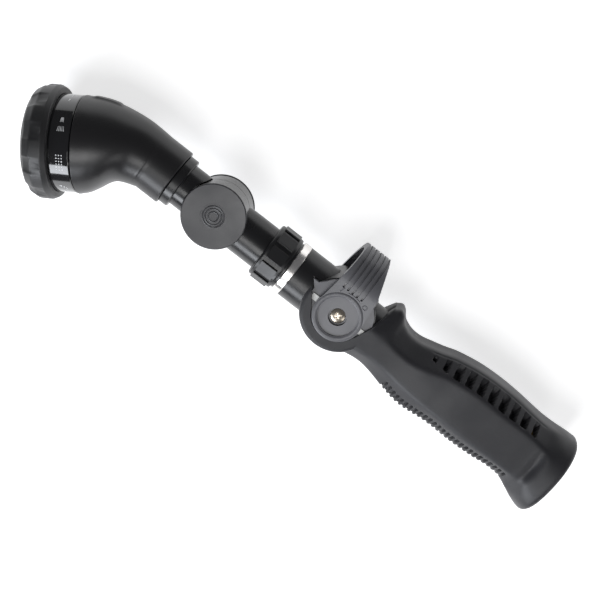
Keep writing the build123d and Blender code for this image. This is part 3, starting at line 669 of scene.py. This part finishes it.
# ------------------------------------------------------------------ soft grip
# knots (x, height or width) of the lines that the grip's section follows, from lever to inlet
grip_top = [(-150, 19.0), (-123.2, 19.2), (-120.8, 20.7), (-118, 19.6), (-114.7, 15.8),
            (-111.4, 14.0), (-108, 13.0), (-101.6, 13.0), (-95.2, 14.6), (-88.7, 16.4),
            (-82.3, 18.6), (-75.9, 20.0), (-69.5, 21.1), (-56.4, 22.0), (-43.4, 21.7),
            (-30, 20.6), (-23.7, 20.2), (-17, 20.4), (-10.2, 21.3), (-1, 21.5)]
grip_bottom = [(-150, -20.5), (-146, -20.6), (-141, -20.0), (-137, -18.8), (-132, -17.2),
               (-126.5, -16.0), (-121.3, -15.6), (-114.7, -16.3), (-108, -17.8), (-101.6, -19.5),
               (-95.2, -20.9), (-88.7, -21.4), (-82.3, -20.9), (-75.9, -20.2), (-69.5, -20.0),
               (-56.4, -20.3), (-43.4, -19.7), (-30.3, -18.5), (-23.7, -18.9), (-17, -21.6),
               (-10.2, -25.2), (-3.5, -27.0), (-1, -27.0)]
upper_crease = [(-150, 5.2), (-117.6, 5.2), (-108, 4.0), (-101.6, 3.8), (-91.5, 5.9), (-78.7, 10.2),
                (-68.5, 11.8), (-45, 12.2), (-24.1, 12.1), (-17.3, 11.2), (-1, 9.0)]
lower_crease = [(-150, -12.0), (-131, -9.0), (-116.9, -7.6), (-95, -9.5), (-69.5, -10.5),
                (-17, -10.3), (-1, -10.0)]
half_width = [(-150, 16.96), (-131, 16.96), (-126, 17.02), (-118, 16.8), (-105, 16.3), (-90, 16.9),
              (-75, 17.6), (-60, 18.0), (-30, 17.6), (-20, 17.4), (-16.5, 17.6), (-12.5, 19.9),
              (-8, 21.3), (-3, 22.1), (-1, 22.1)]


def grip_reach(x, v):
    """The section as the soft overlap of eight half planes: with each plane's normal n and distance h,
    r(v) = (sum of (max(0, n . d) / h)^p)^(-1/p) in the direction d = (cos v, sin v). At the flared
    end it blends into an oval, whose exponent is 2.3."""
    crispness, oval_power = 26.0, 2.3
    crown_half, keel_half = 7.6, 8.6        # half widths of the flats on top and underneath
    top, bottom, upper, under, width = (
        smooth_line(knots, x)
        for knots in (grip_top, grip_bottom, upper_crease, lower_crease, half_width))
    middle = (top + bottom) / 2
    side, rise = np.abs(np.sin(v)), np.cos(v)
    total = (side / width)**crispness
    total = total + (np.maximum(0, rise) / (top - middle))**crispness
    total = total + (np.maximum(0, -rise) / (middle - bottom))**crispness
    for edge, crown, flat_half in ((upper, top, crown_half), (under, bottom, keel_half)):
        across, along = width - flat_half, np.abs(crown - edge)
        length = np.hypot(across, along)
        sign = np.sign(crown - edge)
        away = (sign * across * (edge - middle) + along * width) / length
        facing = np.maximum(0, sign * rise * across + side * along) / length
        total = total + (facing / away)**crispness
    oval_side = (side / width)**oval_power
    oval_rise = (np.abs(rise) / ((top - bottom) / 2))**oval_power
    oval = (oval_side + oval_rise)**(-1 / oval_power)
    flare = step(-13.2, 4.6, x)
    return middle, (1 - flare) * total**(-1 / crispness) + flare * oval


def grip_carving(x, y, z):
    """Depth cut into the grip: ten leaf-shaped slots on the top slope, a fine line over them, a row
    of small finger pockets along the underside, and a shallow scoop where the flare starts."""
    top, bottom, crease = (smooth_line(knots, x) for knots in (grip_top, grip_bottom, upper_crease))
    slot_half_widths = [1.1, 1.4] + [2.0] * 7 + [1.4]
    slot_start, slot_pitch, slot_lean, slot_depth = -91.7, 7.2, 0.14, 6.0
    pocket_start, pocket_pitch, pocket_half, pocket_depth, pockets = -103.4, 3.05, 0.78, 2.2, 27
    cut = np.zeros_like(x)
    low = np.maximum(crease + 1.2, 11.4)
    for i, widest in enumerate(slot_half_widths):
        high = top - (2.6 if i == 0 else 2.0)
        share = np.clip((y - low) / (high - low), 0, 1)
        wide = widest * (1 - 0.14 * share)
        middle = slot_start + slot_pitch * i - slot_lean * (y - 16)
        slot = window(-wide, wide, 0.28, x - middle) * window(low, high, 0.35, y)
        cut = np.maximum(cut, slot_depth * slot)
    line = 0.28 * window(top - 1.25, top - 0.85, 0.2, y) * window(-94, -22, 2.0, x)
    cut = np.maximum(cut, line)
    below = window(bottom - 1.0, bottom + 5.6, 0.3, y) * (np.abs(z) > 4.5)
    for i in range(pockets):
        middle = pocket_start + pocket_pitch * i + 0.1 * (y - bottom)
        pocket = window(-pocket_half, pocket_half, 0.2, x - middle)
        cut = np.maximum(cut, pocket_depth * pocket * below)
    scoop = np.exp(-((x + 15.2) / 1.9) ** 2 - ((y + 2.0) / 6.5) ** 2)
    return cut + 0.9 * scoop * (np.abs(z) > 8)


def grip_skin():
    """The handle's skin: rings that lean with the notch at the lever's end and stand square behind
    it. Each ring's x follows its own y, found by repeating x = base + lean y until it settles. The
    lever's end is chamfered and dished. The flared end turns in by a quarter oval and runs flat to
    the inlet's bore."""
    around = 264
    settling_rounds = 14
    notch_lean = 0.355
    inlet_depth = 24.0
    v = full_turn(around)[None, :]
    base = np.concatenate([np.linspace(grip_notch_x, -105.3, 44), np.linspace(-105, -18, 262),
                           np.linspace(-17.5, grip_mouth_x, 26)])[:, None]
    lean = notch_lean * (1 - step(-117.5, 12.5, base))
    y = np.zeros((len(base), around))
    for _ in range(settling_rounds):
        x = base + lean * y
        middle, reach = grip_reach(x, v)
        y = middle + reach * np.cos(v)
    reach = reach - grip_carving(x, y, reach * np.sin(v))
    skin = np.stack([x, middle + reach * np.cos(v), reach * np.sin(v)], -1)
    dished = skin[0].copy()
    dished[:, 0] += 1.6 * np.sin(np.linspace(0, np.pi, around)) ** 2
    dished[:, 2] *= 0.02
    chamfered = skin[0].copy()
    chamfered[:, 2] *= 0.93
    chamfered[:, 0] -= 0.4
    last = skin[-1]
    inward = (last.mean(0) - last) * 0.11
    outward = np.array([2.6, 0, 0])
    turn = np.linspace(0, np.pi / 2, 7)[1:]
    round_end = [last + inward * (1 - np.cos(a)) + outward * np.sin(a) for a in turn]
    mouth = np.stack([np.full(around, -1.0), inlet_bore_r * np.cos(v[0]),
                      inlet_bore_r * np.sin(v[0])], -1)
    inside = mouth - np.array([inlet_depth, 0, 0])
    edge = mouth + (round_end[-1] - mouth) * 0.04
    return np.vstack([[dished], [chamfered], skin, round_end, [edge], [mouth], [inside]])


def cradle_rim():
    """The cradle that holds the lever's boss: one profile carried round the lever axis, between the
    two straight sides of the notch, each profile point starting and ending on those lines."""
    outer_r, inner_r, lip_r = 20.6, 19.4, 14.1
    half, lip_z, bore_z = 17.0, 15.6, 12.5
    front_side = (-12.5, -6.8), (-26.5, 13.2)
    grip_side = (14.7, -3.7), (32.0, 45.0)
    upper = [(inner_r, bore_z, 0), (inner_r, lip_z, 0.05), (lip_r, lip_z, 0.2), (lip_r, half, 0.3),
             (outer_r, half, 2.6)]
    lower = [(radius, -z, rounding) for radius, z, rounding in reversed(upper)]
    profile = rounded(upper + lower)
    radius = profile[:, 0]

    def meets(start, end):
        """Angle at which each radius meets the line from start to end."""
        start, end = np.array(start), np.array(end)
        along = (end - start) / np.linalg.norm(end - start)
        foot = start - (start @ along) * along
        reach = np.sqrt(np.maximum(0, radius**2 - foot @ foot))
        x, y = foot[0] + along[0] * reach, foot[1] + along[1] * reach
        return np.arctan2(y, x)

    first = meets(*front_side) % TURN - TURN
    last = meets(*grip_side)
    share = np.linspace(0, 1, 170)[:, None]
    angle = first + (last - first) * share
    return np.stack([lever_x + radius * np.cos(angle), radius * np.sin(angle),
                     profile[:, 1] + 0 * angle], -1)


grip = make_piece("grip_skin", [grip_skin()], 42.0)
cradle = make_piece("cradle_rim", [cradle_rim()])
for piece in (grip, cradle):
    dress(piece, grip_black)
    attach(piece, "handle")
    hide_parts("grip_shell")

# ------------------------------------------------------------------ stage, in metres
stage_x = -0.165
floor_half = 6.0
floor_count = 9
floor_z = cad_box[0][2] - 0.0002
places = np.linspace(-floor_half, floor_half, floor_count)
across, along = np.meshgrid(places, places)
floor_points = np.stack([across + stage_x, along, np.full_like(across, floor_z)], -1).reshape(-1, 3)
floor_faces = grid_faces(floor_count, floor_count, False)
floor_mesh = bpy.data.meshes.new("floor")
floor_mesh.from_pydata(floor_points.tolist(), [], floor_faces.tolist())
floor = bpy.data.objects.new("floor", floor_mesh)
bpy.context.scene.collection.objects.link(floor)
floor_paint = bpy.data.materials.new("pale floor")
floor_paint.use_nodes = True
paint_tree = floor_paint.node_tree
paint = paint_tree.nodes["Principled BSDF"]
cloud = add(paint_tree, "ShaderNodeTexNoise", {"Scale": 3.0, "Detail": 2.0})
shade = add(paint_tree, "ShaderNodeMix", {"Factor": cloud.outputs[0], "A": (0.86, 0.86, 0.86, 1),
                                          "B": (0.90, 0.90, 0.90, 1)}, data_type="RGBA")
paint_tree.links.new(shade.outputs["Result"], paint.inputs["Base Color"])
paint.inputs["Roughness"].default_value = 0.9
paint.inputs["Emission Color"].default_value = (1, 1, 1, 1)
paint.inputs["Emission Strength"].default_value = 0.7      # keeps the floor pale under soft lights
floor_mesh.materials.append(floor_paint)


def soft_light(name, toward, distance, width, height, power, colour=(1, 1, 1)):
    """A rectangular soft box that looks at the object's middle from the given direction."""
    data = bpy.data.lights.new(name, "AREA")
    data.shape = "RECTANGLE"
    data.size = width
    data.size_y = height
    data.energy = power
    data.color = colour
    lamp = bpy.data.objects.new(name, data)
    bpy.context.scene.collection.objects.link(lamp)
    direction = Vector(toward).normalized()
    target = Vector((stage_x, -0.01, 0.0))
    facing = direction.to_track_quat("Z", "Y").to_matrix().to_4x4()
    lamp.matrix_world = Matrix.Translation(target + direction * distance) @ facing


soft_light("key", (-0.15, -0.95, 0.62), 0.95, 0.75, 0.35, 7.0, (0.92, 0.95, 1.0))
soft_light("top", (0.074, -0.297, 0.952), 1.3, 0.55, 0.55, 5.0)
soft_light("fill", (0.9, -0.2, 0.7), 1.3, 0.4, 0.4, 1.6)
world = bpy.data.worlds.new("room")
world.use_nodes = True
room = world.node_tree.nodes["Background"]
room.inputs["Color"].default_value = (0.75, 0.76, 0.8, 1)
room.inputs["Strength"].default_value = 0.16
bpy.context.scene.world = world

# ------------------------------------------------------------------ camera, in metres
aim = np.array([-0.16509, -0.011, 0.0])
camera_distance = 0.65
roll = np.radians(37.7)
view = np.array([-0.074, 0.297, 0.0])       # from the object towards the camera
view[2] = np.sqrt(1 - view @ view)
level = np.array([1.0, 0, 0]) - view[0] * view
level /= np.linalg.norm(level)
right = level * np.cos(roll) + np.cross(view, level) * np.sin(roll)
up = np.cross(view, right)
spot = aim + camera_distance * view
camera_data = bpy.data.cameras.new("camera")
camera_data.lens = 73.3
camera_data.sensor_width = 36.0
camera = bpy.data.objects.new("camera", camera_data)
bpy.context.scene.collection.objects.link(camera)
camera_rows = [[right[i], up[i], view[i], spot[i]] for i in range(3)]
camera.matrix_world = Matrix(camera_rows + [[0, 0, 0, 1]])
bpy.context.scene.camera = camera
bpy.context.scene.view_settings.view_transform = "Standard"
